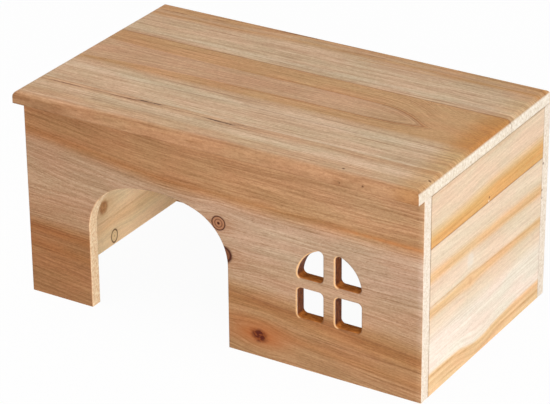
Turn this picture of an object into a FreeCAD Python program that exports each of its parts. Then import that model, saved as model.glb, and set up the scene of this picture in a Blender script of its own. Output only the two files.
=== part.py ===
# A small wooden house for a hamster: thin boards in butt joints, open underneath,
# with an arched doorway and an arched window of four panes in the front wall.
# The roof and the side walls are edge-glued from two staves each.
# The boards are glued where they meet, and held by headless pins sunk into the wood.
#
# Millimetres, +Z up. Every piece is drawn in the frame of the box of walls: X = 0 half way
# along the front, Y = 0 on the outer face of the front wall, Z = 0 on the table below.
# The placements then move the pieces together, so that the part's own origin
# lies under the middle of the whole house.

import FreeCAD, Part
import math
import os
import Sketcher

dimensions = {
    # the box of walls, the boards it is made of and the upper stave of each side wall
    "house_width": 200.0,
    "house_depth": 115.0,
    "wall_height": 94.0,
    "wall_board": 6.0,
    "side_upper_stave": 24.5,
    # the roof: its board, how far it stands out past each wall, and its back stave
    "roof_board": 6.0,
    "overhang_front": 5.0,
    "overhang_back": 0.0,
    "overhang_left": 2.0,
    "overhang_right": 0.0,
    "roof_back_stave": 38.0,
    "roof_rounding": 3.0,
    # the small rounding that sanding leaves on the sharp edges of the walls, and a larger one
    # round the outside of the panes
    "edge_ease": 0.5,
    "pane_ease": 0.9,
    # the doorway: uprights, two shoulder arcs and a flatter crown arc
    "door_centre": -31.0,
    "door_width": 72.0,
    "door_height": 65.8,
    "door_shoulder": 25.0,
    "door_crown": 59.0,
    # the window: two square panes below a rail, and two quarter-round panes above it
    "window_centre": 55.3,
    "window_width": 31.2,
    "window_sill": 24.6,
    "lower_pane_height": 14.2,
    "window_rail": 4.8,
    "window_post": 6.0,
    "pane_corner": 2.0,
    # the pins: how deep their heads are sunk, the room in their holes,
    # and how far the first and last of a row stand from the end of their joint
    "pin_diameter": 0.8,
    "pin_length": 15.0,
    "pin_sunk": 0.6,
    "pin_fit": 0.1,
    "pin_margin": 18.0,
    "long_joint_pins": 4,
}

document = FreeCAD.newDocument("hamster_house")
sheet = document.addObject("Spreadsheet::Sheet", "size")
for row, (name, number) in enumerate(dimensions.items(), start=1):
    sheet.set(f"A{row}", name)
    sheet.set(f"B{row}", str(number))
    sheet.setAlias(f"B{row}", name)
document.recompute()

# Places and sizes that several pieces share, as expressions on the sheet.
HALF_WIDTH = "size.house_width / 2"
SIDE_MIDDLE = "(size.house_width - size.wall_board) / 2"
FRONT_MIDDLE = "size.wall_board / 2"
BACK_MIDDLE = "(size.house_depth - size.wall_board / 2)"
BACK_INSIDE = "(size.house_depth - size.wall_board)"
SIDE_SEAM = "(size.wall_height - size.side_upper_stave)"
ROOF_TOP = "(size.wall_height + size.roof_board)"
ROOF_LEFT = "(-size.house_width / 2 - size.overhang_left)"
ROOF_WIDTH = "(size.house_width + size.overhang_left + size.overhang_right)"
ROOF_SEAM = "(size.house_depth + size.overhang_back - size.roof_back_stave)"
WINDOW_LEFT = "(size.window_centre - size.window_width / 2)"
WINDOW_SPRING = "(size.window_sill + size.lower_pane_height + size.window_rail)"
POST_LEFT = "(size.window_centre - size.window_post / 2)"
POST_RIGHT = "(size.window_centre + size.window_post / 2)"
PANE_WIDTH = "(size.window_width - size.window_post) / 2"
HOLE_RADIUS = "(size.pin_diameter + size.pin_fit) / 2"

# How deep a pin goes into the board that it is driven through, and into the board behind it.
NEAR_DEPTH = {"roof": "(size.roof_board - size.pin_sunk)", "wall": "(size.wall_board - size.pin_sunk)"}
FAR_DEPTH = {kind: f"(size.pin_length - {near})" for kind, near in NEAR_DEPTH.items()}

# Where the pins stand along the short joints. No pin crosses a seam between two staves.
ROOF_PINS_FRONT_STAVE = ["size.wall_board + size.pin_margin", f"{ROOF_SEAM} - size.pin_margin"]
ROOF_PINS_BACK_STAVE = [f"({ROOF_SEAM} + {BACK_INSIDE}) / 2"]
CORNER_PINS_LOWER_STAVE = ["size.pin_margin", f"{SIDE_SEAM} - size.pin_margin"]
CORNER_PINS_UPPER_STAVE = [f"{SIDE_SEAM} + size.side_upper_stave / 3"]

# Two places in millimetres closer than this are the same place, and the volume
# of a cut may be this share away from the area of its outlines times its depth.
SAME_PLACE = 0.01
CUT_SHARE = 0.01


def measure(expression):
    return float(sheet.evalExpression(expression))


def long_joint_places():
    # the pins along the front and back walls, evenly spaced about the middle
    gaps = int(measure("size.long_joint_pins")) - 1
    span = "(size.house_width - 2 * size.pin_margin)"
    return [f"{span} * ({number} / {gaps} - 1 / 2)" for number in range(gaps + 1)]


def corner_joint_places():
    # the pins up both ends of the front and back walls
    heights = CORNER_PINS_LOWER_STAVE + CORNER_PINS_UPPER_STAVE
    return [(side + SIDE_MIDDLE, height) for side in ("-", "") for height in heights]


def place_in_part(piece):
    # moves a piece from the frame of the box of walls to the part's own frame
    sideways = "(size.overhang_left - size.overhang_right) / 2"
    forwards = "(size.overhang_front - size.house_depth - size.overhang_back) / 2"
    piece.setExpression("Placement.Base.x", sideways)
    piece.setExpression("Placement.Base.y", forwards)


def new_body(label):
    body = document.addObject("PartDesign::Body", label)
    body.Label = label
    place_in_part(body)
    return body


def new_sketch(body, name, role, offset):
    # a sketch on one of the body's own planes, moved along that plane's normal
    plane = next(feature for feature in body.Origin.OriginFeatures if feature.Role == role)
    sketch = body.newObject("Sketcher::SketchObject", name)
    sketch.AttachmentSupport = [(plane, "")]
    sketch.MapMode = "FlatFace"
    sketch.setExpression("AttachmentOffset.Base.z", offset)
    return sketch


def bind(sketch, kind, elements, expression):
    # a constraint whose value comes from the sheet
    index = sketch.addConstraint(Sketcher.Constraint(kind, *elements, measure(expression)))
    sketch.setExpression(f"Constraints[{index}]", expression)


def place_point(sketch, element, point, across, up):
    bind(sketch, "DistanceX", (-1, 1, element, point), across)
    bind(sketch, "DistanceY", (-1, 1, element, point), up)


def constrain(sketch, rules):
    for rule in rules:
        sketch.addConstraint(Sketcher.Constraint(*rule))


def line(x1, y1, x2, y2):
    return Part.LineSegment(FreeCAD.Vector(x1, y1, 0), FreeCAD.Vector(x2, y2, 0))


def circle(x, y, radius):
    return Part.Circle(FreeCAD.Vector(x, y, 0), FreeCAD.Vector(0, 0, 1), radius)


def draw_rectangle(sketch, left, bottom, width, height):
    low_x = measure(left)
    low_y = measure(bottom)
    high_x = low_x + measure(width)
    high_y = low_y + measure(height)
    foot = sketch.addGeometry(line(low_x, low_y, high_x, low_y))
    right = sketch.addGeometry(line(high_x, low_y, high_x, high_y))
    head = sketch.addGeometry(line(high_x, high_y, low_x, high_y))
    left_side = sketch.addGeometry(line(low_x, high_y, low_x, low_y))
    constrain(sketch, [
        ("Coincident", foot, 2, right, 1),
        ("Coincident", right, 2, head, 1),
        ("Coincident", head, 2, left_side, 1),
        ("Coincident", left_side, 2, foot, 1),
        ("Horizontal", foot),
        ("Vertical", right),
        ("Horizontal", head),
        ("Vertical", left_side),
    ])
    place_point(sketch, foot, 1, left, bottom)
    bind(sketch, "DistanceX", (foot, 1, foot, 2), width)
    bind(sketch, "DistanceY", (right, 1, right, 2), height)


def pad(body, sketch, length, reverse=False):
    feature = body.newObject("PartDesign::Pad", sketch.Name + "_pad")
    feature.Profile = sketch
    feature.setExpression("Length", length)
    feature.Reversed = reverse
    document.recompute()


def pocket(body, sketch, depth, reverse=False):
    # cuts the sketch's outlines to a depth, and makes sure that all of that was wood
    before = body.Shape.Volume
    feature = body.newObject("PartDesign::Pocket", sketch.Name + "_pocket")
    feature.Profile = sketch
    feature.setExpression("Length", depth)
    feature.Reversed = reverse
    document.recompute()
    removed = before - body.Shape.Volume
    expected = sum(Part.Face(outline).Area for outline in sketch.Shape.Wires) * measure(depth)
    if abs(removed - expected) > CUT_SHARE * expected:
        raise RuntimeError(f"{sketch.Name} cut {removed:.2f} cubic millimetres, not {expected:.2f}")


def drill(body, name, role, offset, places, depth, reverse=False):
    # round holes for the pins, all of one size
    sketch = new_sketch(body, name, role, offset)
    holes = []
    for across, up in places:
        hole = sketch.addGeometry(circle(measure(across), measure(up), measure(HOLE_RADIUS)))
        place_point(sketch, hole, 3, across, up)
        holes.append(hole)
    bind(sketch, "Radius", (holes[0],), HOLE_RADIUS)
    constrain(sketch, [("Equal", holes[0], hole) for hole in holes[1:]])
    pocket(body, sketch, depth, reverse)


def round_edges(body, name, radius, wanted):
    # rounds those edges of the body so far that the test picks by their shape and place
    tip = body.Tip
    picked = [f"Edge{number}" for number, edge in enumerate(tip.Shape.Edges, start=1) if wanted(edge)]
    if not picked:
        raise RuntimeError(f"{name} found no edge to round")
    feature = body.newObject("PartDesign::Fillet", name)
    feature.Base = (tip, picked)
    feature.setExpression("Radius", radius)
    document.recompute()


def lies_at(edge, axis, position):
    # true for an edge whose whole length has this one value of X, Y or Z
    low = getattr(edge.BoundBox, axis + "Min")
    high = getattr(edge.BoundBox, axis + "Max")
    return abs(low - position) < SAME_PLACE and abs(high - position) < SAME_PLACE


def lies_between(edge, left, right):
    return edge.BoundBox.XMin > left - SAME_PLACE and edge.BoundBox.XMax < right + SAME_PLACE


# The normal of XZ_Plane is -Y, so its offsets are negative and its directions turned round.
def make_front_wall():
    body = new_body("front_wall")
    outline = new_sketch(body, "front_outline", "XZ_Plane", "0")
    draw_rectangle(outline, "-" + HALF_WIDTH, "0", "size.house_width", "size.wall_height")
    pad(body, outline, "size.wall_board", reverse=True)
    cut_doorway(body)
    cut_window(body)
    round_pane_corners(body)
    tops = [(across, FRONT_MIDDLE) for across in long_joint_places()]
    drill(body, "front_top_holes", "XY_Plane", "size.wall_height", tops, FAR_DEPTH["roof"])
    drill(body, "front_side_holes", "XZ_Plane", "-size.wall_board", corner_joint_places(),
          NEAR_DEPTH["wall"], reverse=True)
    ease_front_wall(body)


def cut_doorway(body):
    # each upright runs smoothly into its shoulder, and each shoulder into the crown
    sketch = new_sketch(body, "doorway", "XZ_Plane", "0")
    centre = measure("size.door_centre")
    half = measure("size.door_width / 2")
    shoulder = measure("size.door_shoulder")
    crown = measure("size.door_crown")
    crown_height = measure("size.door_height - size.door_crown")
    rise = math.sqrt((crown - shoulder) ** 2 - (half - shoulder) ** 2)
    spring = crown_height + rise
    turn = math.atan2(rise, half - shoulder)
    left_circle = circle(centre - half + shoulder, spring, shoulder)
    right_circle = circle(centre + half - shoulder, spring, shoulder)
    crown_circle = circle(centre, crown_height, crown)

    left_upright = sketch.addGeometry(line(centre - half, 0, centre - half, spring))
    left_shoulder = sketch.addGeometry(Part.ArcOfCircle(left_circle, math.pi - turn, math.pi))
    crown_arc = sketch.addGeometry(Part.ArcOfCircle(crown_circle, turn, math.pi - turn))
    right_shoulder = sketch.addGeometry(Part.ArcOfCircle(right_circle, 0, turn))
    right_upright = sketch.addGeometry(line(centre + half, spring, centre + half, 0))
    threshold = sketch.addGeometry(line(centre + half, 0, centre - half, 0))
    constrain(sketch, [
        ("Tangent", left_upright, 2, left_shoulder, 2),
        ("Tangent", left_shoulder, 1, crown_arc, 2),
        ("Tangent", crown_arc, 1, right_shoulder, 2),
        ("Tangent", right_shoulder, 1, right_upright, 1),
        ("Coincident", right_upright, 2, threshold, 1),
        ("Coincident", threshold, 2, left_upright, 1),
        ("Vertical", left_upright),
        ("Vertical", right_upright),
        ("Horizontal", threshold),
        ("Equal", left_shoulder, right_shoulder),
    ])
    place_point(sketch, left_upright, 1, "size.door_centre - size.door_width / 2", "0")
    place_point(sketch, crown_arc, 3, "size.door_centre", "size.door_height - size.door_crown")
    bind(sketch, "DistanceX", (threshold, 2, threshold, 1), "size.door_width")
    bind(sketch, "Radius", (left_shoulder,), "size.door_shoulder")
    bind(sketch, "Radius", (crown_arc,), "size.door_crown")
    pocket(body, sketch, "size.wall_board")


def cut_window(body):
    sketch = new_sketch(body, "window", "XZ_Plane", "0")
    draw_rectangle(sketch, WINDOW_LEFT, "size.window_sill", PANE_WIDTH, "size.lower_pane_height")
    draw_rectangle(sketch, POST_RIGHT, "size.window_sill", PANE_WIDTH, "size.lower_pane_height")
    draw_quarter_pane(sketch, POST_LEFT, -1)
    draw_quarter_pane(sketch, POST_RIGHT, 1)
    pocket(body, sketch, "size.wall_board")


def draw_quarter_pane(sketch, post_face, side):
    # up the post, round the window's arch and back along the rail; side is -1 left, 1 right
    centre = measure("size.window_centre")
    radius = measure("size.window_width / 2")
    spring = measure(WINDOW_SPRING)
    post = measure(post_face)
    lean = math.asin(abs(post - centre) / radius)
    arch = circle(centre, spring, radius)
    if side < 0:
        arc = sketch.addGeometry(Part.ArcOfCircle(arch, math.pi / 2 + lean, math.pi))
        arc_top, arc_foot = 1, 2
    else:
        arc = sketch.addGeometry(Part.ArcOfCircle(arch, 0, math.pi / 2 - lean))
        arc_top, arc_foot = 2, 1
    upright = sketch.addGeometry(line(post, spring, post, spring + radius * math.cos(lean)))
    rail = sketch.addGeometry(line(centre + side * radius, spring, post, spring))
    constrain(sketch, [
        ("Coincident", upright, 2, arc, arc_top),
        ("Coincident", arc, arc_foot, rail, 1),
        ("Coincident", rail, 2, upright, 1),
        ("Vertical", upright),
        ("Horizontal", rail),
    ])
    place_point(sketch, arc, 3, "size.window_centre", WINDOW_SPRING)
    place_point(sketch, upright, 1, post_face, WINDOW_SPRING)
    bind(sketch, "Radius", (arc,), "size.window_width / 2")


def round_pane_corners(body):
    # the cutter leaves a radius on every pane edge that goes through the board
    left = measure(WINDOW_LEFT)
    right = left + measure("size.window_width")
    board = measure("size.wall_board")
    round_edges(body, "pane_corners", "size.pane_corner",
                lambda edge: edge.BoundBox.YLength > board - SAME_PLACE and lies_between(edge, left, right))


def ease_front_wall(body):
    # both outlines of the doorway, the inner outlines of the panes and the two outer corners
    # are only broken; the outer outlines of the panes are sanded rounder
    board = measure("size.wall_board")
    half = measure(HALF_WIDTH)
    door_left = measure("size.door_centre - size.door_width / 2")
    door_right = door_left + measure("size.door_width")
    door_height = measure("size.door_height")
    window_left = measure(WINDOW_LEFT)
    window_right = window_left + measure("size.window_width")
    window_top = measure(WINDOW_SPRING + " + size.window_width / 2")

    def on_door(edge):
        return lies_between(edge, door_left, door_right) and edge.BoundBox.ZMax < door_height + SAME_PLACE

    def on_pane(edge):
        height = edge.BoundBox.ZMax
        return lies_between(edge, window_left, window_right) and SAME_PLACE < height < window_top + SAME_PLACE

    def on_corner(edge):
        return lies_at(edge, "X", -half) or lies_at(edge, "X", half)

    def broken(edge):
        if lies_at(edge, "Y", 0):
            return on_corner(edge) or on_door(edge)
        return lies_at(edge, "Y", board) and (on_door(edge) or on_pane(edge))

    round_edges(body, "front_ease", "size.edge_ease", broken)
    round_edges(body, "pane_rounding", "size.pane_ease", lambda edge: lies_at(edge, "Y", 0) and on_pane(edge))


def make_back_wall():
    body = new_body("back_wall")
    outline = new_sketch(body, "back_outline", "XZ_Plane", "-" + BACK_INSIDE)
    draw_rectangle(outline, "-" + HALF_WIDTH, "0", "size.house_width", "size.wall_height")
    pad(body, outline, "size.wall_board", reverse=True)
    tops = [(across, BACK_MIDDLE) for across in long_joint_places()]
    drill(body, "back_top_holes", "XY_Plane", "size.wall_height", tops, FAR_DEPTH["roof"])
    drill(body, "back_side_holes", "XZ_Plane", "-" + BACK_INSIDE, corner_joint_places(), NEAR_DEPTH["wall"])
    half = measure(HALF_WIDTH)
    depth = measure("size.house_depth")

    def outer_corner(edge):
        return lies_at(edge, "Y", depth) and (lies_at(edge, "X", -half) or lies_at(edge, "X", half))

    round_edges(body, "back_ease", "size.edge_ease", outer_corner)


def make_side_stave(label, side, bottom, height, corner_pins, roof_pins):
    # a stave of the left wall, where side is -1, or of the right wall, where it is 1
    body = new_body(label)
    sign = "-" if side < 0 else ""
    face = "-" + HALF_WIDTH if side < 0 else HALF_WIDTH + " - size.wall_board"
    outline = new_sketch(body, label + "_outline", "YZ_Plane", face)
    draw_rectangle(outline, "size.wall_board", bottom, BACK_INSIDE + " - size.wall_board", height)
    pad(body, outline, "size.wall_board")
    ends = [(sign + SIDE_MIDDLE, pin) for pin in corner_pins]
    drill(body, label + "_front_holes", "XZ_Plane", "-size.wall_board", ends, FAR_DEPTH["wall"])
    drill(body, label + "_back_holes", "XZ_Plane", "-" + BACK_INSIDE, ends, FAR_DEPTH["wall"], reverse=True)
    if roof_pins:
        tops = [(sign + SIDE_MIDDLE, pin) for pin in roof_pins]
        drill(body, label + "_top_holes", "XY_Plane", "size.wall_height", tops, FAR_DEPTH["roof"])


def make_roof_stave(label, front, width, wall_middle, side_pins, long_edge):
    # drilled from below; the rounding goes round its outer edges with a mitre at each corner
    body = new_body(label)
    outline = new_sketch(body, label + "_outline", "XY_Plane", "size.wall_height")
    draw_rectangle(outline, ROOF_LEFT, front, ROOF_WIDTH, width)
    pad(body, outline, "size.roof_board")
    holes = [(across, wall_middle) for across in long_joint_places()]
    holes += [(side + SIDE_MIDDLE, along) for side in ("-", "") for along in side_pins]
    drill(body, label + "_holes", "XY_Plane", "size.wall_height", holes, NEAR_DEPTH["roof"], reverse=True)

    top = measure(ROOF_TOP)
    along = measure(long_edge)
    left = measure(ROOF_LEFT)
    right = left + measure(ROOF_WIDTH)

    def outer_top(edge):
        on_outline = lies_at(edge, "X", left) or lies_at(edge, "X", right) or lies_at(edge, "Y", along)
        return on_outline and lies_at(edge, "Z", top)

    round_edges(body, label + "_rounding", "size.roof_rounding", outer_top)


def make_pins(label, places, direction):
    # plain wires without heads, one group for each joint between two boards
    wires = []
    for number, place in enumerate(places, start=1):
        wire = document.addObject("Part::Cylinder", f"{label}_{number}")
        wire.setExpression("Radius", "size.pin_diameter / 2")
        wire.setExpression("Height", "size.pin_length")
        wire.Placement.Rotation = FreeCAD.Rotation(FreeCAD.Vector(0, 0, 1), direction)
        for axis, expression in zip("xyz", place):
            wire.setExpression(f"Placement.Base.{axis}", expression)
        wires.append(wire)
    group = document.addObject("Part::Compound", label)
    group.Label = label
    group.Links = wires
    place_in_part(group)


def make_all_pins():
    down = FreeCAD.Vector(0, 0, -1)
    inward = {"front": FreeCAD.Vector(0, 1, 0), "back": FreeCAD.Vector(0, -1, 0)}
    roof_head = ROOF_TOP + " - size.pin_sunk"
    wall_head = {"front": "size.pin_sunk", "back": "size.house_depth - size.pin_sunk"}
    wall_middle = {"front": FRONT_MIDDLE, "back": BACK_MIDDLE}
    roof_places = ROOF_PINS_FRONT_STAVE + ROOF_PINS_BACK_STAVE
    corner_heights = CORNER_PINS_LOWER_STAVE + CORNER_PINS_UPPER_STAVE
    for end in ("front", "back"):
        places = [(across, wall_middle[end], roof_head) for across in long_joint_places()]
        make_pins(f"roof_{end}_pins", places, down)
    for side, sign in (("left", "-"), ("right", "")):
        across = sign + SIDE_MIDDLE
        make_pins(f"roof_{side}_pins", [(across, along, roof_head) for along in roof_places], down)
        for end in ("front", "back"):
            places = [(across, wall_head[end], height) for height in corner_heights]
            make_pins(f"{end}_{side}_pins", places, inward[end])


def make_house():
    make_front_wall()
    make_back_wall()
    for name, side in (("left", -1), ("right", 1)):
        make_side_stave(f"{name}_wall_lower_stave", side, "0", SIDE_SEAM, CORNER_PINS_LOWER_STAVE, [])
        make_side_stave(f"{name}_wall_upper_stave", side, SIDE_SEAM, "size.side_upper_stave",
                        CORNER_PINS_UPPER_STAVE, ROOF_PINS_FRONT_STAVE + ROOF_PINS_BACK_STAVE)
    make_roof_stave("roof_front_stave", "-size.overhang_front", ROOF_SEAM + " + size.overhang_front",
                    FRONT_MIDDLE, ROOF_PINS_FRONT_STAVE, "-size.overhang_front")
    make_roof_stave("roof_back_stave", ROOF_SEAM, "size.roof_back_stave",
                    BACK_MIDDLE, ROOF_PINS_BACK_STAVE, "size.house_depth + size.overhang_back")
    make_all_pins()
    document.recompute()


def sound_pieces():
    # every object must be up to date, and every piece a valid shape, before anything is written
    for item in document.Objects:
        if "Invalid" in item.State or "Error" in item.State:
            raise RuntimeError(f"{item.Label} is {item.State}")
    pieces = [item for item in document.Objects if item.TypeId in ("PartDesign::Body", "Part::Compound")]
    for piece in pieces:
        if piece.Shape.isNull() or not piece.Shape.isValid():
            raise RuntimeError(f"{piece.Label} has no valid shape")
    return pieces


def write_pieces(pieces):
    os.makedirs("parts", exist_ok=True)
    for piece in pieces:
        piece.Shape.exportStep(f"parts/{piece.Label}.step")
        print(f"{piece.Label}: solids {len(piece.Shape.Solids)}, volume {piece.Shape.Volume:.1f}")


make_house()
write_pieces(sound_pieces())
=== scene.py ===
import bmesh
import bpy
import math
from mathutils import Matrix, Vector

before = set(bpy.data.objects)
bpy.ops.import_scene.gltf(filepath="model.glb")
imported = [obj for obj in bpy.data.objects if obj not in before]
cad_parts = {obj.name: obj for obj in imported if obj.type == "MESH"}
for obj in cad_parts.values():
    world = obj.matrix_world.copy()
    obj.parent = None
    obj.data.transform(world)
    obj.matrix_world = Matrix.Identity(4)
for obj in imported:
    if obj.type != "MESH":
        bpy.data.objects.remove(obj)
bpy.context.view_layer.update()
print("frame loaded:", len(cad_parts), "nodes")


class Signal:
    # one output of a node: arithmetic on it adds Math nodes
    def __init__(self, graph, socket):
        self.graph = graph
        self.socket = socket

    def __add__(self, other):
        return self.graph.math("ADD", self, other)

    def __sub__(self, other):
        return self.graph.math("SUBTRACT", self, other)

    def __mul__(self, other):
        return self.graph.math("MULTIPLY", self, other)

    def __rmul__(self, other):
        return self.graph.math("MULTIPLY", other, self)

    def __truediv__(self, other):
        return self.graph.math("DIVIDE", self, other)


class Graph:
    # the nodes of one material or world
    def __init__(self, owner):
        owner.use_nodes = True
        self.tree = owner.node_tree
        self.tree.nodes.clear()

    def node(self, kind, settings=None, sockets=None, out=0):
        made = self.tree.nodes.new(kind)
        for key, value in (settings or {}).items():
            if key == "stops":
                self.setStops(made.color_ramp, value)
            elif key == "points":
                self.setPoints(made.mapping, value)
            else:
                setattr(made, key, value)
        for key, value in (sockets or {}).items():
            if isinstance(value, Signal):
                self.tree.links.new(value.socket, made.inputs[key])
            else:
                made.inputs[key].default_value = value
        return Signal(self, made.outputs[out]) if made.outputs else None

    def setStops(self, ramp, stops):
        while len(ramp.elements) < len(stops):
            ramp.elements.new(0.5)
        for element, (place, colour) in zip(ramp.elements, stops):
            element.position = place
            element.color = colour

    def setPoints(self, mapping, points):
        line = mapping.curves[0].points
        while len(line) < len(points):
            line.new(0.5, 0.5)
        for point, place in zip(line, points):
            point.location = place
        mapping.update()

    def math(self, operation, first, second=0.0, clamp=False):
        return self.node("ShaderNodeMath", {"operation": operation, "use_clamp": clamp},
                         {0: first, 1: second})

    def root(self, value):
        return self.math("SQRT", value)

    def size(self, value):
        return self.math("ABSOLUTE", value)

    def highest(self, first, second):
        return self.math("MAXIMUM", first, second)

    def lowest(self, first, second):
        return self.math("MINIMUM", first, second)

    def share(self, first, second):
        # a product kept between 0 and 1
        return self.math("MULTIPLY", first, second, clamp=True)

    def step(self, value, low, high):
        # 0 below low, 1 above high and smooth between them; falls where low is above high
        return self.node("ShaderNodeMapRange", {"interpolation_type": "SMOOTHSTEP"},
                         {0: value, 1: low, 2: high, 3: 0.0, 4: 1.0})

    def bell(self, value, width):
        # 1 where the value is nought, gone at about twice the width
        scaled = value / width
        return self.math("EXPONENT", scaled * scaled * -1.0)

    def vector(self, x, y, z):
        return self.node("ShaderNodeCombineXYZ", None, {0: x, 1: y, 2: z})

    def split(self, vector):
        return [self.node("ShaderNodeSeparateXYZ", None, {0: vector}, axis) for axis in range(3)]

    def millimetres(self):
        place = self.node("ShaderNodeTexCoord", out="Object")
        return self.node("ShaderNodeVectorMath", {"operation": "SCALE"}, {0: place, "Scale": 1000.0})

    def noise(self, vector, detail=2.0, roughness=0.5):
        return self.node("ShaderNodeTexNoise", None,
                         {"Vector": vector, "Scale": 1.0, "Detail": detail, "Roughness": roughness})

    def speckled(self, parts, waves):
        # noise that is as fine in every direction, in waves per mm
        return self.noise(self.vector(*[part * waves for part in parts]))

    def curve(self, value, points):
        # a smooth line through a few places: the first number runs along, the second comes out
        low, high = points[0][0], points[-1][0]
        bottom = min(point[1] for point in points)
        top = max(point[1] for point in points)
        span = max(top - bottom, 0.001)
        places = [((along - low) / (high - low), (up - bottom) / span) for along, up in points]
        along = self.math("DIVIDE", value - low, high - low, clamp=True)
        bent = self.node("ShaderNodeFloatCurve", {"points": places}, {"Factor": 1.0, "Value": along})
        return bent * span + bottom

    def ramp(self, value, stops, tones):
        # tones across a width, named at their places in mm
        low, high = stops[0][0], stops[-1][0]
        across = self.math("DIVIDE", value - low, high - low, clamp=True)
        places = [((place - low) / (high - low), tone(*tones[named])) for place, named in stops]
        return self.node("ShaderNodeValToRGB", {"stops": places}, {0: across})

    def blend(self, share, first, second, how="MIX"):
        return self.node("ShaderNodeMix", {"data_type": "RGBA", "blend_type": how},
                         {0: share, 6: first, 7: second}, 2)

    def tinted(self, colour, layer):
        return self.blend(1.0, colour, layer, "MULTIPLY")

    def stain(self, share, colour, layer):
        # a tint laid over a share of the colour
        return self.blend(share, colour, self.tinted(colour, layer))

    def seenStraight(self):
        # 1 for what the camera, a reflection or glass shows, 0 for the light that falls on things
        rays = [self.node("ShaderNodeLightPath", out=f"Is {kind} Ray")
                for kind in ("Camera", "Glossy", "Transmission")]
        return self.lowest(rays[0] + rays[1] + rays[2], 1.0)


def tone(red, green, blue):
    # a colour as it looks, in steps of 255, turned to light
    return tuple(((step / 255 + 0.055) / 1.055) ** 2.4 for step in (red, green, blue)) + (1.0,)


def tint(red, green, blue):
    # a colour that others are multiplied by
    return (red, green, blue, 1.0)


woodFeel = {
    # waves of the grain: length, breadth and height in mm, and a seed of their own
    "waves": {"wander": (70.0, 15.0, 1.5, 0.0), "shiver": (16.0, 4.0, 0.35, 9.0)},
    "patchTints": ((0.88, 0.85, 0.82), (1.10, 1.12, 1.14)),
    # a yearly ring darkens over the first range of its breadth and stops over the second
    "ringDrift": 3.4, "lateRise": (0.25, 0.86), "lateStop": (1.0, 0.93), "leastPress": 0.1,
    "lateTint": (0.84, 0.76, 0.68),
    "lineTints": ((0.80, 0.75, 0.69), (1.13, 1.16, 1.20)),
    "threadTint": (0.72, 0.62, 0.52),
    "hueTints": ((1.03, 0.985, 0.985), (0.97, 1.01, 1.0)),
    "fibreTint": (0.87, 0.83, 0.79), "fibreAcross": (1.7, 0.3),
    "gritTints": ((0.90, 0.88, 0.86), (1.09, 1.11, 1.13)),
    "poreTint": (0.70, 0.62, 0.54),
    # sawn ends: how far a face turns to the grain, and how the rings and open pores show there
    "endTurn": (0.74, 0.95), "endPoreTint": (0.80, 0.73, 0.64), "endRings": 0.16, "endPores": 0.5,
    "endPoreWaves": 1.7, "endPoreRange": (0.50, 0.64),
    # edges made paler, partly rubbed wear and partly painted highlight: how far the corner is felt in
    # metres, and how much it must turn
    "wearAndHighlightReach": 0.0009, "wearAndHighlightTurn": (0.995, 0.80), "wearAndHighlightWaves": 1 / 5.0, "wearAndHighlightLeast": 0.35,
    "wearAndHighlightTint": (1.16, 1.17, 1.18),
    "jointTint": (0.36, 0.24, 0.15), "jointWaves": 1 / 9.0, "jointLeast": 0.25,
    "roughness": (0.56, 0.74), "lateShine": 0.08, "gloss": 0.18,
    "bumpStrength": 0.7, "bumpDepth": 0.00012,
    "relief": {"fibre": 0.6, "late": -0.5, "pore": -0.6, "end": 0.6},
}

# the layers of noise: waves per mm along, across and inward, seed, detail, roughness and range
woodLayers = {
    "patch": (1 / 48.0, 1 / 3.5, 0.0, 0.0, 3.0, 0.6, (0.0, 1.0)),
    "drift": (1 / 160.0, 1 / 7.0, 0.0, 4.0, 2.0, 0.5, (0.0, 1.0)),
    "press": (1 / 60.0, 1 / 2.2, 0.0, 7.0, 2.0, 0.5, (0.32, 0.78)),
    "line": (1 / 42.0, 0.95, 0.15, 13.0, 4.0, 0.72, (0.34, 0.66)),
    "thread": (1 / 36.0, 1.9, 0.0, 31.0, 2.0, 0.5, (0.58, 0.68)),
    "hue": (1 / 26.0, 1 / 9.0, 1 / 9.0, 17.0, 2.0, 0.5, (0.30, 0.70)),
    "fibre": (1 / 4.5, 1.0, 0.9, 0.0, 4.0, 0.66, (0.44, 0.62)),
    "grit": (0.7, 1.4, 1.4, 41.0, 3.0, 0.7, (0.32, 0.68)),
    "pore": (1 / 1.8, 1.9, 1.5, 0.0, 2.0, 0.5, (0.60, 0.70)),
    "mottle": (1 / 3.0, 0.8, 0.8, 0.0, 4.0, 0.75, (0.30, 0.70)),
}

plainBoard = {
    "calm": 1.0, "ringStrength": 0.8, "lineStrength": 0.9, "threadStrength": 0.7,
    "fibreStrength": 0.85, "poreStrength": 0.5, "gritStrength": 0.9,
    "bends": [], "fades": [], "zones": [], "knots": [], "streaks": [], "specks": [], "cutouts": [],
    "joints": [],
}


def woodNoise(g, layer, along, across, inward, seed):
    # the layer's noise, and how far it is through the layer's range
    lengthwise, crosswise, inwardly, ownSeed, detail, roughness, (low, high) = woodLayers[layer]
    spot = g.vector(along * lengthwise, across * crosswise, inward * inwardly + (seed + ownSeed))
    rough = g.noise(spot, detail, roughness)
    return rough, g.step(rough, low, high)


def grainField(g, along, across, inward, board):
    # one number that is the same along each grain line, in mm across the board
    ring = across + inward * board["lean"]
    for wave, share in (("wander", board["calm"]), ("shiver", 1.0)):
        length, breadth, height, seed = woodFeel["waves"][wave]
        spot = g.vector(along / length, across / breadth, inward / breadth + (board["seed"] + seed))
        ring = ring + (g.noise(spot) - 0.5) * (2.0 * height * share)
    for low, high, points in board["bends"]:
        ring = ring + g.curve(along, points) * g.step(across, low, high)
    return ring


# lengths in the radius of the knot
knotFeel = {
    "halo": (2.6, 1.35), "partReach": (2.8, 2.0), "wobbleWaves": 0.9, "wobbleSeed": 0.37,
    "rim": (1.05, 0.9), "fill": 0.75, "barkAt": 0.98, "innerAt": 0.56, "innerWidth": 0.07,
    "heartRange": (0.26, 0.14), "core": (1.10, 0.40), "fleckWaves": 2.4, "fleckRange": (0.42, 0.60),
}

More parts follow.
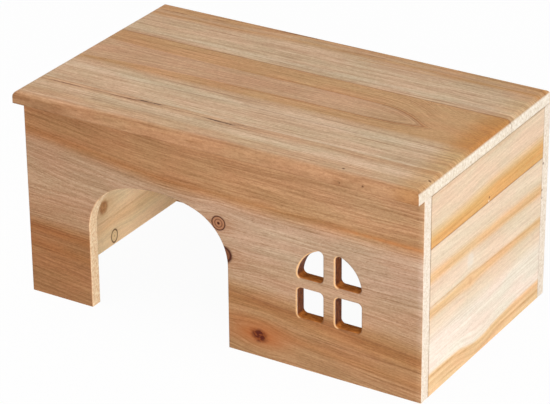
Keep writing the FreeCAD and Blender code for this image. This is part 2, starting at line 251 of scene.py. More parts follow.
plainKnot = {
    "stretch": 1.0, "push": 0.75, "barkWidth": 0.13, "innerRing": 0.8, "heart": 1.0, "flecks": 0.5,
}


def partGrain(g, ring, along, across, knots):
    # the grain runs round a knot instead of through it
    for knot in knots:
        reachAlong, reachAcross = knotFeel["partReach"]
        side = g.bell(along - knot["along"], knot["radius"] * reachAlong)
        up = g.bell(across - knot["across"], knot["radius"] * reachAcross)
        ring = ring - (across - knot["across"]) * side * up * knot["push"]
    return ring


def drawKnot(g, colour, along, across, knot):
    side = (along - knot["along"]) / (knot["radius"] * knot["stretch"])
    up = (across - knot["across"]) / knot["radius"]
    waves = knotFeel["wobbleWaves"]
    wobble = g.noise(g.vector(side * waves, up * waves, knot["along"] * knotFeel["wobbleSeed"])) - 0.5
    distance = g.root(side * side + up * up) + wobble * knot["wobble"]
    haloAlong, haloAcross = knotFeel["halo"]
    halo = g.bell(side, haloAlong) * g.bell(up, haloAcross)
    haloTone, barkTone = tone(*knot["haloTone"]), tone(*knot["barkTone"])
    colour = g.blend(halo * knot["halo"], colour, haloTone)
    if knot["kind"] == "ring":
        inside = g.step(distance, *knotFeel["rim"])
        colour = g.blend(inside * knotFeel["fill"], colour, tone(*knot["fillTone"]))
        bark = g.bell(distance - knotFeel["barkAt"], knot["barkWidth"])
        inner = g.bell(distance - knotFeel["innerAt"], knotFeel["innerWidth"]) * knot["innerRing"]
        heart = g.step(distance, *knotFeel["heartRange"]) * knot["heart"]
        dark = g.highest(g.highest(bark, inner), heart)
        return g.blend(dark * knot["strength"], colour, barkTone)
    core = g.step(distance, *knotFeel["core"])
    waves = knotFeel["fleckWaves"]
    flecks = g.step(g.noise(g.vector(side * waves, up * waves, knot["across"])), *knotFeel["fleckRange"])
    coreTone = g.blend(flecks * knot["flecks"], barkTone, haloTone)
    return g.blend(core * knot["strength"], colour, coreTone)


# what the marks in the wood are drawn with
markTones = {
    "pitch": (56, 26, 8), "resin": (90, 50, 26), "brown": (118, 74, 44), "faint": (136, 98, 70),
    "gold": (172, 126, 74), "rust": (188, 118, 64), "amber": (202, 134, 66), "peach": (200, 146, 92),
    "chalk": (248, 236, 214),
}

markFeel = {
    "fade": (0.18, 0.4),       # the fading end of a streak: a share of its length, and mm
    "broken": (1 / 3.0, 3.0, 1.5),  # how a streak breaks up: waves per mm, seed, strength
    "speckWaves": 1.3, "speckHeart": 0.3,
}


def drawStreaks(g, colour, along, across, streaks):
    # short lines, mostly dark resin, that follow the grain; one under the right wall's top edge is painted
    # shadow
    waves, seed, loud = markFeel["broken"]
    for (fromAlong, fromAcross), (toAlong, toAcross), width, strength, streakTone in streaks:
        fade = markFeel["fade"][0] * (toAlong - fromAlong) + markFeel["fade"][1]
        inRange = (g.step(along, fromAlong - fade, fromAlong + fade)
                   * g.step(along, toAlong + fade, toAlong - fade))
        lean = (toAcross - fromAcross) / (toAlong - fromAlong)
        middle = (along - fromAlong) * lean + fromAcross
        broken = g.noise(g.vector(along * waves, fromAcross, seed)) * loud
        share = g.share(inRange * g.bell(across - middle, width), broken * strength)
        colour = g.blend(share, colour, tone(*markTones[streakTone]))
    return colour


def drawSpecks(g, colour, parts, specks):
    # small marks, each at one spot of the board whichever of its faces that is on
    for spot, breadth, strength, speckTone in specks:
        aside, away, up = [parts[axis] - spot[axis] for axis in range(3)]
        distance = g.root(aside * aside + away * away + up * up)
        ragged = g.speckled(parts, markFeel["speckWaves"]) - 0.5
        inside = g.step(distance + ragged * breadth, breadth, breadth * markFeel["speckHeart"])
        colour = g.blend(g.share(inside, strength), colour, tone(*markTones[speckTone]))
    return colour


# a flame where the saw passed along the top of a ring: lengths in mm
flameFeel = {
    "follow": 0.6, "border": 2.0, "heartEdge": 0.9, "heartFade": (4.0, -44.0), "heartShare": (0.5, 0.35),
    "edgeAt": 0.3, "edgeWidth": 0.75, "edgeStop": -12.0, "edgeShare": 0.65,
    "lineFade": (-38.0, -16.0), "ringPull": 1.4, "quietFade": (-6.0, 8.0), "quiet": -0.6,
}


def drawFlame(g, colour, ring, along, across, flame):
    tip, border = flame["tip"], flameFeel["border"]
    off = g.size(across + (ring - across) * flameFeel["follow"] - g.curve(along, flame["middle"]))
    inside = off - g.curve(along, flame["half"])
    near = (g.step(across, flame["low"] - border, flame["low"] + border)
            * g.step(across, flame["high"] + border, flame["high"] - border))
    loud, least = flameFeel["heartShare"]
    fading = g.step(along, *[tip + reach for reach in flameFeel["heartFade"]]) * loud + least
    heart = g.step(inside, flameFeel["heartEdge"], -flameFeel["heartEdge"]) * fading * near
    colour = g.blend(heart, colour, tone(*flame["heartTone"]))
    edge = (g.bell(inside - flameFeel["edgeAt"], flameFeel["edgeWidth"])
            * g.step(along, flame["edgeFrom"], tip + flameFeel["edgeStop"]))
    colour = g.blend(edge * flameFeel["edgeShare"] * near, colour, tone(*flame["edgeTone"]))
    toTip = g.step(along, *[tip + reach for reach in flameFeel["lineFade"]])
    for offset, width, strength in flame["lines"]:
        line = g.bell(inside - offset, width) * toTip * strength * near
        colour = g.blend(line, colour, tone(*flame["lineTone"]))
    lineField = ring + (inside * flameFeel["ringPull"] - ring) * near
    quiet = g.step(along, *[tip + reach for reach in flameFeel["quietFade"]]) * near
    return colour, lineField, quiet * flameFeel["quiet"] + 1.0


# the tone inside an opening, and a painted highlight on its rounded rim where that faces right: ranges of
# how a face turns
cutFeel = {
    "border": 0.5, "wavesIn": 0.9, "spread": (0.30, 0.70), "lying": (0.2, 0.8), "walls": (0.62, 0.30),
    "outline": ((0.996, 0.94), (0.40, 0.66), (0.0, 0.35)), "rimBroken": (0.25, 0.60), "rimBrokenLeast": 0.3,
}


def drawCutout(g, colour, parts, facing, cut):
    left, right, foot, head = cut["box"]
    border = cutFeel["border"]
    inBox = g.step(parts[0], left - border, left) * g.step(parts[0], right + border, right)
    inBox = inBox * g.step(parts[2], foot - border, foot) * g.step(parts[2], head + border, head)
    facingOut = g.size(facing[1])
    spot = g.vector(parts[0] / cut["grain"], parts[1] * cutFeel["wavesIn"], parts[2] / cut["grain"])
    uneven = g.noise(spot, 4.0, 0.7)
    spread = g.step(uneven, *cutFeel["spread"])
    # the tone on the opening's walls, with a tone of its own on the floor where one is given
    cutTone = g.blend(spread, *[tone(*end) for end in cut["tones"]])
    if "floorTones" in cut:
        floorTone = g.blend(spread, *[tone(*end) for end in cut["floorTones"]])
        cutTone = g.blend(g.step(facing[2], *cutFeel["lying"]), cutTone, floorTone)
    colour = g.blend(inBox * g.step(facingOut, *cutFeel["walls"]) * cut["share"], colour, cutTone)
    # painted highlight: the opening's rounded rim is made paler where it faces right, as if lit, and broken
    # up by noise
    turned, notWall, toRight = cutFeel["outline"]
    outline = g.step(facingOut, *turned) * g.step(facingOut, *notWall) * g.step(facing[0], *toRight)
    least = cutFeel["rimBrokenLeast"]
    rimBroken = g.step(uneven, *cutFeel["rimBroken"]) * (1.0 - least) + least
    return g.blend(inBox * outline * rimBroken * cut["outlineShare"], colour, tone(*cut["outlineTone"]))


def grainWood(name, asked):
    board = dict(plainBoard, **asked)
    knots = [dict(plainKnot, **knot) for knot in board["knots"]]
    seed = board["seed"]
    material = bpy.data.materials.new(name)
    g = Graph(material)
    parts = g.split(g.millimetres())
    facing = g.split(g.node("ShaderNodeTexCoord", out="Normal"))
    along, across = parts[board["along"]], parts[board["across"]]
    axis, face, way = board["inward"]
    inward = (parts[axis] - face) * way
    ring = partGrain(g, grainField(g, along, across, inward, board), along, across, knots)

    # the bands of the board, then patches along them
    colour = g.ramp(ring, board["profile"], board["tones"])
    patches, _ = woodNoise(g, "patch", along, ring, inward, seed)
    colour = g.tinted(colour, g.blend(patches, *[tint(*end) for end in woodFeel["patchTints"]]))
    for low, high, fromTint, toTint in board["fades"]:
        colour = g.tinted(colour, g.blend(g.step(along, low, high), tint(*fromTint), tint(*toTint)))
    for middle, height, length, breadth, zoneTint in board["zones"]:
        share = g.bell(along - middle, length) * g.bell(across - height, breadth)
        colour = g.stain(share, colour, tint(*zoneTint))

    lineField, loudness = ring, 1.0
    if "flame" in board:
        colour, lineField, loudness = drawFlame(g, colour, ring, along, across, board["flame"])

    # yearly rings, pale on one side and dark on the other
    drift, _ = woodNoise(g, "drift", along, lineField, inward, seed)
    saw = g.math("FRACT", lineField / board["ringSpace"] + drift * woodFeel["ringDrift"])
    late = g.step(saw, *woodFeel["lateRise"]) * g.step(saw, *woodFeel["lateStop"])
    _, pressed = woodNoise(g, "press", along, lineField, inward, seed)
    least = woodFeel["leastPress"]
    lateShare = late * (pressed * (1.0 - least) + least) * (board["ringStrength"] * loudness)
    colour = g.stain(lateShare, colour, tint(*woodFeel["lateTint"]))

    # finer lines of uneven breadth between the rings, and a few thin dark threads
    _, lines = woodNoise(g, "line", along, lineField, inward, seed)
    lineTint = g.blend(lines, *[tint(*end) for end in woodFeel["lineTints"]])
    colour = g.stain(board["lineStrength"] * loudness, colour, lineTint)
    _, thread = woodNoise(g, "thread", along, lineField, inward, seed)
    threadShare = thread * (board["threadStrength"] * loudness)
    colour = g.stain(threadShare, colour, tint(*woodFeel["threadTint"]))

    # the wood drifts a little between a redder and a greyer tone
    _, hue = woodNoise(g, "hue", along, across, inward, seed)
    colour = g.tinted(colour, g.blend(hue, *[tint(*end) for end in woodFeel["hueTints"]]))

    # fibres, grit and the short open pores between them
    acrossShare, ringShare = woodFeel["fibreAcross"]
    fibre, fibres = woodNoise(g, "fibre", along, across * acrossShare + ring * ringShare, inward, seed)
    colour = g.stain(fibres * board["fibreStrength"], colour, tint(*woodFeel["fibreTint"]))
    _, grit = woodNoise(g, "grit", along, across, inward, seed)
    gritTint = g.blend(grit, *[tint(*end) for end in woodFeel["gritTints"]])
    colour = g.stain(board["gritStrength"], colour, gritTint)
    _, pore = woodNoise(g, "pore", along, across, inward, seed)
    colour = g.stain(pore * board["poreStrength"], colour, tint(*woodFeel["poreTint"]))

    colour = drawStreaks(g, colour, along, across, board["streaks"])
    for knot in knots:
        colour = drawKnot(g, colour, along, across, knot)

    # sawn ends: pale, mottled, with the rings crossing them
    endMask = g.step(g.size(facing[board["along"]]), *woodFeel["endTurn"])
    _, mottle = woodNoise(g, "mottle", along, across, inward, seed)
    waves = woodFeel["endPoreWaves"]
    openEnd = g.step(g.noise(g.vector(seed, across * waves, inward * waves), 3.0, 0.7),
                     *woodFeel["endPoreRange"])
    endColour = g.blend(mottle, *[tone(*end) for end in board["endTones"]])
    for share in (late * woodFeel["endRings"], openEnd * woodFeel["endPores"]):
        endColour = g.stain(share, endColour, tint(*woodFeel["endPoreTint"]))
    colour = g.blend(endMask, colour, endColour)

    colour = drawSpecks(g, colour, parts, board["specks"])
    for cut in board["cutouts"]:
        colour = drawCutout(g, colour, parts, facing, cut)

    # edges made paler, partly rubbed wear and partly painted highlight, and the thin dark lines where boards
    # meet
    smoothed = g.node("ShaderNodeBevel", {"samples": 6}, {"Radius": woodFeel["wearAndHighlightReach"]})
    flat = g.node("ShaderNodeNewGeometry", out="Normal")
    sameWay = g.node("ShaderNodeVectorMath", {"operation": "DOT_PRODUCT"},
                     {0: smoothed, 1: flat}, "Value")
    uneven = g.speckled(parts, woodFeel["wearAndHighlightWaves"]) + woodFeel["wearAndHighlightLeast"]
    wornAndHighlit = g.lowest(g.step(sameWay, *woodFeel["wearAndHighlightTurn"]) * uneven, 1.0)
    colour = g.stain(wornAndHighlit, colour, tint(*woodFeel["wearAndHighlightTint"]))
    for axis, place, width, strength in board["joints"]:
        uneven = g.speckled(parts, woodFeel["jointWaves"]) + woodFeel["jointLeast"]
        dark = g.lowest(g.bell(parts[axis] - place, width) * uneven * strength, 1.0)
        colour = g.stain(dark, colour, tint(*woodFeel["jointTint"]))

    low, high = woodFeel["roughness"]
    roughness = (fibre + patches) * 0.5 * (high - low) + low - lateShare * woodFeel["lateShine"]
    relief = woodFeel["relief"]
    height = (fibre * relief["fibre"] + lateShare * relief["late"] + pore * relief["pore"]
              + mottle * endMask * relief["end"])
    bump = g.node("ShaderNodeBump", None, {
        "Strength": woodFeel["bumpStrength"], "Distance": woodFeel["bumpDepth"], "Height": height})
    shader = g.node("ShaderNodeBsdfPrincipled", None, {
        "Base Color": colour, "Roughness": roughness, "Normal": bump,
        "Specular IOR Level": woodFeel["gloss"]})
    g.node("ShaderNodeOutputMaterial", None, {"Surface": shader})
    return material


# a board: axes of the grain (0 along x, 1 along y, 2 up), the face its depth is measured from,
# then places in mm. profile: bands across it. bends: grain that swings, from low to high.
# fades: tints along it. zones: paler or darker patches. streaks: start, end, width, strength, tone.
# specks: place, breadth, strength, tone. joints: axis, place, width, strength of the dark line.
roofTones = {
    # edge, the roof's front face, is darker partly as painted shade, as on the front wall
    "edge": (168, 127, 92), "ochre": (190, 148, 105), "buff": (197, 162, 128), "pale": (202, 173, 143),
    "cream": (206, 182, 154),
}

roofFront = {
    "along": 0, "across": 1, "inward": (2, 100.0, -1.0), "lean": 0.1, "seed": 1.7, "ringSpace": 1.75,
    "calm": 0.6,
    "ringStrength": 0.6,
    "tones": roofTones,
    "profile": [
        (-61, "edge"), (-58.6, "edge"), (-56.5, "buff"), (-52, "buff"), (-49, "pale"), (-45, "pale"),
        (-42, "buff"),
        (-39.4, "buff"), (-38.3, "cream"), (-37, "pale"), (-26, "pale"), (-21.5, "cream"), (-18, "pale"),
        (-14.5, "buff"), (-12, "ochre"), (22.2, "ochre"),
    ],
    "flame": {
        "middle": [
            (-101, -0.5), (-60, 0.8), (0, 1.4), (45, 1.3), (60, -0.2), (66, -1.4), (72, -2.7), (101, -5.0),
        ],
        "half": [
            (-101, 10.8), (-60, 8.6), (0, 7.6), (40, 7.6), (50, 7.0), (60, 5.0), (66, 2.8), (72, 0.0),
            (101, -10.0),
        ],
        "low": -14.0, "high": 22.0, "edgeFrom": -120.0, "tip": 72.0,
        "heartTone": (193, 155, 123), "edgeTone": (178, 124, 78),
        "lines": [(0.0, 0.28, 0.75), (1.5, 0.24, 0.45), (-1.3, 0.22, 0.45)], "lineTone": (128, 82, 52),
    },
    "fades": [
        (-101, -30, (0.97, 0.95, 0.93), (1.0, 1.0, 1.0)), (84, 97, (1.0, 1.0, 1.0), (0.97, 0.87, 0.70)),
    ],
    "zones": [
        (98.0, 2.0, 9.0, 28.0, (0.98, 0.86, 0.66)), (60.0, -59.5, 50.0, 2.0, (0.95, 0.95, 0.96)),
        (-82.0, -58.5, 34.0, 3.0, (1.10, 1.18, 1.30)), (58.0, 8.0, 36.0, 12.0, (1.04, 1.08, 1.13)),
        (64.0, -52.5, 48.0, 6.0, (1.12, 1.17, 1.22)),
    ],
    "streaks": [
        ((-94, -41.8), (-46, -41.0), 0.30, 0.65, "resin"),
        ((-50, -41.0), (14, -41.4), 0.28, 0.60, "brown"),
        ((-92, -41.6), (-78, -41.6), 0.32, 1.00, "resin"),
        ((-61, -41.6), (-48, -41.4), 0.30, 1.00, "resin"),
        ((-48, -40.4), (-36, -40.1), 0.38, 1.50, "pitch"),
        ((-12, -41.8), (2, -42.2), 0.38, 1.50, "pitch"),
        ((0, -40.6), (16, -40.2), 0.28, 0.90, "resin"),
        ((-62, -17.2), (4, -16.3), 0.40, 0.60, "faint"),
        ((4, -16.3), (100, -18.6), 0.40, 0.45, "faint"),
        ((-74, -24.5), (-10, -22.4), 0.35, 0.60, "faint"),
        ((-10, -22.0), (62, -22.8), 0.35, 0.60, "faint"),
        ((-66, -49.4), (-61, -49.3), 0.40, 0.80, "brown"),
    ],
    "specks": [
        ((63.5, -55.5, 100.0), 0.9, 0.95, "resin"),
        ((75.0, -60.0, 96.6), 0.7, 0.95, "resin"),
        ((64.2, -60.0, 95.6), 0.6, 0.80, "resin"),
        ((99.2, -47.6, 99.8), 1.0, 0.90, "resin"),
        ((100.8, 21.2, 99.2), 1.3, 0.45, "brown"),
    ],
    "joints": [(1, 22.0, 0.30, 0.75), (2, 94.0, 0.30, 0.55)],
    "endTones": ((222, 206, 184), (253, 244, 230)),
}

roofBack = {
    "along": 0, "across": 1, "inward": (2, 100.0, -1.0), "lean": -0.1, "seed": 5.3, "ringSpace": 1.9,
    "calm": 0.6,
    "ringStrength": 0.6,
    "tones": roofTones,
    "profile": [
        (21.5, "buff"), (24.5, "pale"), (27, "cream"), (30, "pale"), (45, "pale"), (47.5, "buff"),
        (49.5, "ochre"),
        (52, "buff"), (55, "ochre"), (61, "ochre"),
    ],
    "bends": [(30, 46, [(-101, 2.2), (-50, 0.6), (0, -1.8), (50, -1.2), (101, -0.5)])],
    "fades": [
        (-101, 0, (0.94, 0.91, 0.88), (0.97, 0.97, 0.97)), (84, 99, (1.0, 1.0, 1.0), (1.0, 0.94, 0.82)),
    ],
    "streaks": [
        ((-97, 51.8), (-83, 52.0), 0.5, 0.85, "brown"),
        ((-68, 53.6), (-62, 54.0), 0.45, 0.7, "brown"),
        ((-44, 56.6), (-12, 57.6), 0.6, 0.9, "brown"),
        ((-2, 57.6), (18, 57.9), 0.5, 0.8, "brown"),
        ((2, 51.4), (24, 52.9), 0.45, 0.7, "faint"),
        ((8, 46.0), (62, 47.8), 0.7, 0.55, "gold"),
        ((54, 48.8), (101, 50.2), 0.8, 0.5, "gold"),
    ],
    "joints": [(1, 22.0, 0.30, 0.75), (2, 94.0, 0.30, 0.55)],
    "endTones": ((224, 210, 190), (254, 246, 234)),
}

frontWall = {
    "along": 0, "across": 2, "inward": (1, -55.0, 1.0), "lean": 0.5, "seed": 3.1, "ringSpace": 1.7,
    "ringStrength": 0.75,
    # partly painted shade: these tones are darker than the same wood on the right wall, standing in for the
    # front lying in shade
    "tones": {
        "umber": (152, 104, 64), "brown": (164, 117, 76), "clay": (167, 126, 89), "tan": (175, 132, 94),
        "pale": (177, 144, 116), "blush": (181, 152, 127),
    },
    "profile": [
        (-2, "clay"), (9, "clay"), (12, "brown"), (17, "clay"), (21, "brown"), (24, "umber"),
        (28, "clay"),
        (34, "pale"), (43, "pale"), (50, "blush"), (65, "blush"), (68, "pale"), (71, "tan"),
        (72.6, "brown"),
        (75, "tan"), (96, "tan"),
    ],
    "bends": [
        (44, 70, [(-99, -9.0), (-60, -4.6), (-20, -0.8), (40, 0.0), (101, 0.8)]),
        (48, 26, [(-99, -13.0), (-60, -9.5), (0, -4.0), (50, 0.0), (101, 5.0)]),
    ],
    "fades": [
        # painted shade: the board darkens towards its left end, standing in for the light falling off from
        # the right
        (-99, 30, (0.80, 0.725, 0.65), (0.965, 0.975, 0.985)),
        (97.6, 100.4, (1.0, 1.0, 1.0), (1.16, 1.24, 1.36)),
    ],
    "zones": [
        (-76.0, 50.0, 42.0, 15.0, (1.08, 1.09, 1.09)), (86.0, 50.0, 26.0, 13.0, (0.92, 0.90, 0.90)),
        (78.0, 84.0, 34.0, 11.0, (1.02, 1.09, 1.19)), (60.0, 3.0, 44.0, 7.0, (1.0, 1.07, 1.12)),
        (86.0, 27.0, 18.0, 10.0, (0.98, 0.94, 0.89)), (-84.0, 20.0, 18.0, 13.0, (1.02, 0.95, 0.89)),
    ],
    "knots": [
        {"kind": "ring", "along": 1.8, "across": 59.2, "radius": 3.3, "wobble": 0.14, "strength": 1.0,
         "barkWidth": 0.10, "fillTone": (152, 102, 70), "barkTone": (58, 14, 0),
         "haloTone": (150, 94, 56),
         "halo": 0.45},
        {"kind": "ring", "along": 4.4, "across": 44.9, "radius": 3.4, "wobble": 0.10, "strength": 1.0,
         "barkWidth": 0.24, "fillTone": (116, 60, 28), "barkTone": (58, 18, 2),
         "haloTone": (146, 92, 54),
         "halo": 0.35},
        {"kind": "soft", "along": 21.6, "across": 10.4, "radius": 4.0, "stretch": 1.3, "wobble": 0.8,
         "strength": 1.0, "flecks": 0.45, "barkTone": (76, 22, 2), "haloTone": (158, 86, 36),
         "halo": 0.85},
    ],
    "streaks": [
        ((6, 28.6), (50, 25.4), 0.45, 0.6, "brown"),
        ((50, 25.2), (101, 20.8), 0.45, 0.5, "brown"),
        ((45, 16.2), (101, 14.4), 0.40, 0.7, "brown"),
        ((-99, 30.8), (-66, 28.0), 0.48, 0.6, "brown"),
        ((-99, 19.0), (-66, 13.4), 0.5, 0.6, "brown"),
        ((64, 71.6), (101, 71.4), 0.8, 0.5, "rust"),
        ((6, 58.4), (60, 56.2), 0.3, 0.5, "faint"),
        ((8, 14.6), (14, 11.0), 0.35, 0.5, "brown"),
    ],
    "cutouts": [
        {"box": (38.6, 72.2, 23.2, 60.6), "grain": 2.4, "share": 0.98, "tones": ((74, 26, 0), (128, 66, 18)),
         "floorTones": ((146, 76, 22), (200, 124, 56)), "outlineTone": (222, 176, 126),
         "outlineShare": 0.85},
        {"box": (-68.0, 6.0, -1.0, 67.0), "grain": 1.3, "share": 0.94,
         "tones": ((222, 178, 132), (255, 232, 196)),
         "outlineTone": (232, 192, 150), "outlineShare": 0.5},
    ],
    "joints": [(1, -49.0, 0.30, 0.8)],
    "endTones": ((226, 210, 190), (250, 240, 228)),
}

backWall = {
    "along": 0, "across": 2, "inward": (1, 60.0, -1.0), "lean": 0.4, "seed": 12.4, "ringSpace": 1.8,
    "tones": {"brown": (187, 140, 98), "buff": (199, 161, 123), "pale": (212, 183, 150)},
    "profile": [
        (-2, "buff"), (7, "buff"), (17, "brown"), (25, "buff"), (36, "pale"), (48, "pale"),
        (60, "brown"),
        (67, "buff"), (80, "pale"), (88, "buff"), (96, "buff"),
    ],
    "bends": [(0, 94, [(-99, 3.0), (-30, -1.0), (40, 1.5), (101, -3.0)])],
    "knots": [
        {"kind": "ring", "along": -38.0, "across": 30.0, "radius": 3.4, "wobble": 0.2, "strength": 0.8,
         "fillTone": (176, 130, 96), "barkTone": (92, 50, 28), "haloTone": (168, 114, 72), "halo": 0.45},
        {"kind": "soft", "along": 52.0, "across": 69.0, "radius": 2.6, "stretch": 1.2, "wobble": 0.7,
         "strength": 0.75, "barkTone": (102, 54, 26), "haloTone": (176, 118, 70), "halo": 0.5},
    ],
    "streaks": [
        ((-80, 17.0), (-30, 16.0), 0.45, 0.5, "brown"),
        ((10, 58.4), (72, 57.6), 0.4, 0.5, "brown"),
    ],
    "specks": [
        ((101.0, 54.8, 66.4), 0.9, 0.75, "brown"), ((101.0, 54.6, 53.4), 0.8, 0.8, "brown"),
        ((101.0, 54.8, 49.6), 0.7, 0.7, "brown"),
    ],
    "joints": [(1, 54.0, 0.25, 0.6), (2, 94.0, 0.35, 0.9)],
    "endTones": ((226, 210, 190), (250, 240, 228)),
}

# partly painted light: the right wall's pale tones are partly the wood's own colour and partly the light
# from the right painted in
sideTones = {
    "ochre": (214, 152, 85), "amber": (226, 176, 112), "rust": (232, 191, 143), "honey": (242, 206, 160),
    "sand": (229, 195, 152), "pale": (231, 207, 180), "cream": (236, 215, 190), "milk": (244, 231, 216),
}

sideUpper = {
    "along": 1, "across": 2, "inward": (0, 101.0, -1.0), "lean": 0.3, "seed": 7.9, "ringSpace": 2.1,
    "calm": 0.6,
    "ringStrength": 0.2, "lineStrength": 0.4, "threadStrength": 0.2, "fibreStrength": 0.45,
    "poreStrength": 0.2,
    "gritStrength": 0.5,
    "tones": sideTones,
    "profile": [
        (69, "ochre"), (70.4, "amber"), (74.5, "amber"), (77.5, "sand"), (80.5, "pale"), (94, "pale"),
    ],
    "bends": [(69, 76, [(-49, 0.8), (-20, 0.4), (10, -1.0), (54, -1.6)])],
    "specks": [((101.0, 3.0, 71.6), 0.9, 0.8, "brown"), ((101.0, 2.6, 70.2), 0.7, 0.8, "chalk")],
    "streaks": [
        ((-48, 72.0), (-10, 72.6), 0.6, 0.5, "amber"),
        ((8, 73.4), (54, 73.2), 0.7, 0.45, "amber"),
        # painted shadow: the peach line just under the right wall's top edge
        ((-48, 92.6), (30, 92.8), 0.7, 0.35, "peach"),
    ],
    "joints": [(2, 69.5, 0.26, 0.95), (1, -49.0, 0.40, 1.2), (1, 54.0, 0.25, 0.8), (2, 94.0, 0.40, 1.1)],
    "endTones": ((226, 206, 176), (242, 228, 206)),
}

sideLower = {
    "along": 1, "across": 2, "inward": (0, 101.0, -1.0), "lean": 0.3, "seed": 8.8, "ringSpace": 2.1,
    "calm": 0.5,
    "ringStrength": 0.16, "lineStrength": 0.35, "threadStrength": 0.2, "fibreStrength": 0.4,
    "poreStrength": 0.2,
    "gritStrength": 0.5,
    "tones": sideTones,
    "profile": [
        (-1, "honey"), (2, "honey"), (3.6, "rust"), (5, "honey"), (6.6, "rust"), (8.2, "honey"),
        (9.6, "milk"),
        (25, "milk"), (31, "cream"), (35.5, "pale"), (38.5, "rust"), (40.5, "rust"), (42.6, "cream"),
        (47, "cream"),
        (51.5, "pale"), (54, "rust"), (56.4, "rust"), (59.5, "pale"), (64, "cream"), (69.6, "pale"),
    ],
    "bends": [
        (16, 11, [(-49, -1.8), (-30, -1.5), (-12, 1.2), (-3, 2.2), (10, 0.8), (30, -0.4), (54, -0.6)]),
        (34, 50, [(-49, -0.6), (0, 0.0), (54, 1.0)]),
    ],
    "fades": [(-40, 10, (1.03, 1.05, 1.08), (1.0, 1.0, 1.0))],
    "knots": [
        {"kind": "soft", "along": -12.5, "across": 39.0, "radius": 2.4, "stretch": 0.8, "wobble": 0.9,
         "strength": 0.4, "push": 0.6, "barkTone": (204, 146, 98), "haloTone": (232, 190, 146),
         "halo": 0.35},
        {"kind": "soft", "along": -12.5, "across": 49.0, "radius": 4.2, "stretch": 0.9, "wobble": 1.0,
         "strength": 0.4, "push": 0.0, "barkTone": (228, 226, 220), "haloTone": (236, 222, 204),
         "halo": 0.25},
    ],
    "streaks": [
        ((-49, 42.4), (-12, 42.0), 0.35, 0.7, "peach"),
        ((-49, 38.2), (-20, 37.0), 0.35, 0.5, "peach"),
        ((-12, 41.6), (54, 39.0), 0.40, 0.6, "peach"),
        ((-48, 55.4), (10, 54.6), 0.6, 0.5, "peach"),
        ((14, 54.2), (54, 53.2), 0.6, 0.5, "peach"),
        ((-48, 9.2), (-26, 8.8), 0.5, 0.8, "peach"),
        ((-24, 7.6), (-6, 5.6), 0.5, 0.6, "peach"),
        ((12, 4.2), (54, 3.8), 0.5, 0.7, "peach"),
        ((-40, 3.0), (-20, 2.4), 0.5, 0.6, "peach"),
    ],
    "joints": [(2, 69.5, 0.30, 0.9), (1, -49.0, 0.40, 1.2), (1, 54.0, 0.25, 0.8)],
    "endTones": ((226, 206, 176), (242, 228, 206)),
}

# painted light: the left wall's tones are made paler than the wood, so that its inner face seen through the
# doorway looks lit
leftTones = {"honey": (249, 213, 165), "pale": (253, 224, 183), "milk": (255, 230, 195)}

leftUpper = dict(
    sideUpper, inward=(0, -99.0, 1.0), seed=21.3, bends=[], specks=[], tones=leftTones,
    profile=[(69, "honey"), (72, "pale"), (76, "honey"), (80, "pale"), (88, "pale"), (94, "honey")],
    streaks=[((-30, 74.6), (40, 75.2), 0.5, 0.5, "peach")],
)

leftLower = dict(
    sideLower, inward=(0, -99.0, 1.0), seed=23.9, fades=[], bends=[], tones=leftTones,
    profile=[
        (-1, "pale"), (8, "pale"), (14, "honey"), (22, "pale"), (32, "milk"), (40, "honey"), (46, "pale"),
        (58, "pale"), (64, "honey"), (70, "pale"),
    ],
    knots=[
        {"kind": "ring", "along": 1.4, "across": 4.2, "radius": 3.3, "stretch": 0.75, "wobble": 0.14,
         "strength": 1.0, "barkWidth": 0.13, "innerRing": 0.2, "heart": 0.3, "fillTone": (238, 208, 160),
         "barkTone": (84, 46, 8), "haloTone": (226, 182, 128), "halo": 0.3},
        {"kind": "soft", "along": -6.5, "across": 22.5, "radius": 4.6, "stretch": 0.9, "wobble": 0.9,
         "strength": 0.75, "barkTone": (158, 94, 44), "haloTone": (216, 158, 98), "halo": 0.5},
    ],
    streaks=[
        ((-40, 40.6), (44, 39.2), 0.4, 0.5, "peach"),
        ((-30, 14.6), (50, 15.6), 0.5, 0.4, "peach"),
    ],
)


steelLook = {
    "bright": (190, 190, 188), "dull": (132, 130, 126), "roughness": (0.28, 0.46),
    "detail": 4.0, "noiseRoughness": 0.6, "bumpStrength": 0.3, "bumpDepth": 0.00002,
}


def drawnSteel(name):
    # bright wire, dulled unevenly
    material = bpy.data.materials.new(name)
    g = Graph(material)
    marks = g.noise(g.millimetres(), steelLook["detail"], steelLook["noiseRoughness"])
    colour = g.blend(marks, tone(*steelLook["dull"]), tone(*steelLook["bright"]))
    low, high = steelLook["roughness"]
    bump = g.node("ShaderNodeBump", None, {
        "Strength": steelLook["bumpStrength"], "Distance": steelLook["bumpDepth"], "Height": marks})
    shader = g.node("ShaderNodeBsdfPrincipled", None, {
        "Base Color": colour, "Roughness": marks * (high - low) + low, "Metallic": 1.0, "Normal": bump})
    g.node("ShaderNodeOutputMaterial", None, {"Surface": shader})
    return material


boards = {
    "roof_front_stave": grainWood("roofFrontWood", roofFront),
    "roof_back_stave": grainWood("roofBackWood", roofBack),
    "front_wall": grainWood("frontWallWood", frontWall),
    "back_wall": grainWood("backWallWood", backWall),
    "right_wall_upper_stave": grainWood("rightUpperWood", sideUpper),
    "right_wall_lower_stave": grainWood("rightLowerWood", sideLower),
    "left_wall_upper_stave": grainWood("leftUpperWood", leftUpper),
    "left_wall_lower_stave": grainWood("leftLowerWood", leftLower),
}
steel = drawnSteel("pinSteel")
for name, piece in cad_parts.items():
    for slot in piece.material_slots:
        slot.material = boards.get(name, steel)
print("finishes laid on", len(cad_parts), "pieces")


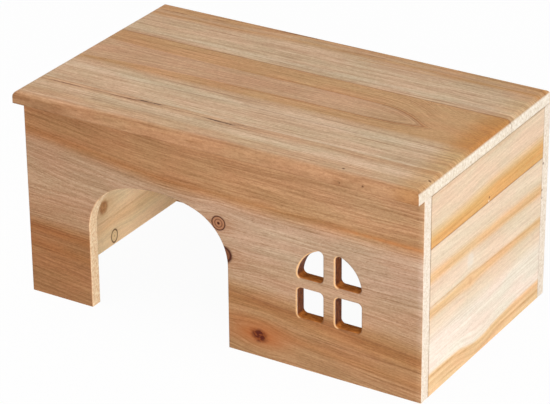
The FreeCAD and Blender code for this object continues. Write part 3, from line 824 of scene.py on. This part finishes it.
studio = {
    "floorSize": 6.0, "floorTone": (225, 225, 225), "floorWhite": 0.96, "floorDrop": -0.0001,
    "worldLight": 0.34, "worldTone": (255, 255, 255), "white": (1.0, 1.0, 1.0, 1.0),
    "lamps": [  # name, place, looks at, width and height, watts, tone
        ("keyPanel", (1.18, -1.41, 0.28), (0.0, 0.0, 0.05), (0.9, 0.5), 30.5, (255, 252, 248)),
        ("topPanel", (-0.2, -0.3, 1.8), (0.0, 0.0, 0.05), (1.6, 1.6), 23.0, (255, 255, 255)),
    ],
}


def buildFloor():
    shape = bmesh.new()
    bmesh.ops.create_grid(shape, x_segments=1, y_segments=1, size=studio["floorSize"] / 2)
    mesh = bpy.data.meshes.new("paperFloor")
    shape.to_mesh(mesh)
    shape.free()
    floor = bpy.data.objects.new("paperFloor", mesh)
    floor.location.z = studio["floorDrop"]
    bpy.context.scene.collection.objects.link(floor)
    material = bpy.data.materials.new("whitePaper")
    g = Graph(material)
    paper = g.node("ShaderNodeBsdfDiffuse", None, {"Color": tone(*studio["floorTone"])})
    white = g.node("ShaderNodeEmission", None, {"Color": studio["white"], "Strength": 1.0})
    share = g.seenStraight() * studio["floorWhite"]
    mixed = g.node("ShaderNodeMixShader", None, {0: share, 1: paper, 2: white})
    # one-sided, so that a view from below shows the house
    clear = g.node("ShaderNodeBsdfTransparent", None, {"Color": studio["white"]})
    fromBelow = g.node("ShaderNodeNewGeometry", out="Backfacing")
    oneSided = g.node("ShaderNodeMixShader", None, {0: fromBelow, 1: mixed, 2: clear})
    g.node("ShaderNodeOutputMaterial", None, {"Surface": oneSided})
    mesh.materials.append(material)


def buildWorld():
    world = bpy.data.worlds.new("studioWorld")
    bpy.context.scene.world = world
    g = Graph(world)
    soft = g.node("ShaderNodeBackground", None, {
        "Color": tone(*studio["worldTone"]), "Strength": studio["worldLight"]})
    white = g.node("ShaderNodeBackground", None, {"Color": studio["white"], "Strength": 1.0})
    mixed = g.node("ShaderNodeMixShader", None, {0: g.seenStraight(), 1: soft, 2: white})
    g.node("ShaderNodeOutputWorld", None, {"Surface": mixed})


def hangLamps():
    for name, place, target, (width, height), watts, lampTone in studio["lamps"]:
        light = bpy.data.lights.new(name, "AREA")
        light.shape = "RECTANGLE"
        light.size = width
        light.size_y = height
        light.energy = watts
        light.color = tone(*lampTone)[:3]
        lamp = bpy.data.objects.new(name, light)
        lamp.location = place
        lamp.rotation_euler = (Vector(target) - Vector(place)).to_track_quat("-Z", "Y").to_euler()
        bpy.context.scene.collection.objects.link(lamp)


# place in metres, angles in degrees, lens and film in mm
view = {
    "place": (0.5507, -0.8994, 0.5629), "turn": 31.65, "down": 26.13, "roll": -0.5,
    "lens": 173.0, "film": 36.0, "nearest": 0.01,
}


def setCamera():
    data = bpy.data.cameras.new("studioCamera")
    data.lens = view["lens"]
    data.sensor_width = view["film"]
    data.clip_start = view["nearest"]
    camera = bpy.data.objects.new("studioCamera", data)
    turned = Matrix.Rotation(math.radians(view["turn"]), 4, "Z")
    tipped = Matrix.Rotation(math.radians(90.0 - view["down"]), 4, "X")
    rolled = Matrix.Rotation(math.radians(view["roll"]), 4, "Z")
    camera.matrix_world = Matrix.Translation(view["place"]) @ turned @ tipped @ rolled
    bpy.context.scene.collection.objects.link(camera)
    bpy.context.scene.camera = camera


buildFloor()
buildWorld()
hangLamps()
setCamera()
bpy.context.scene.view_settings.view_transform = "Standard"
print("studio set")
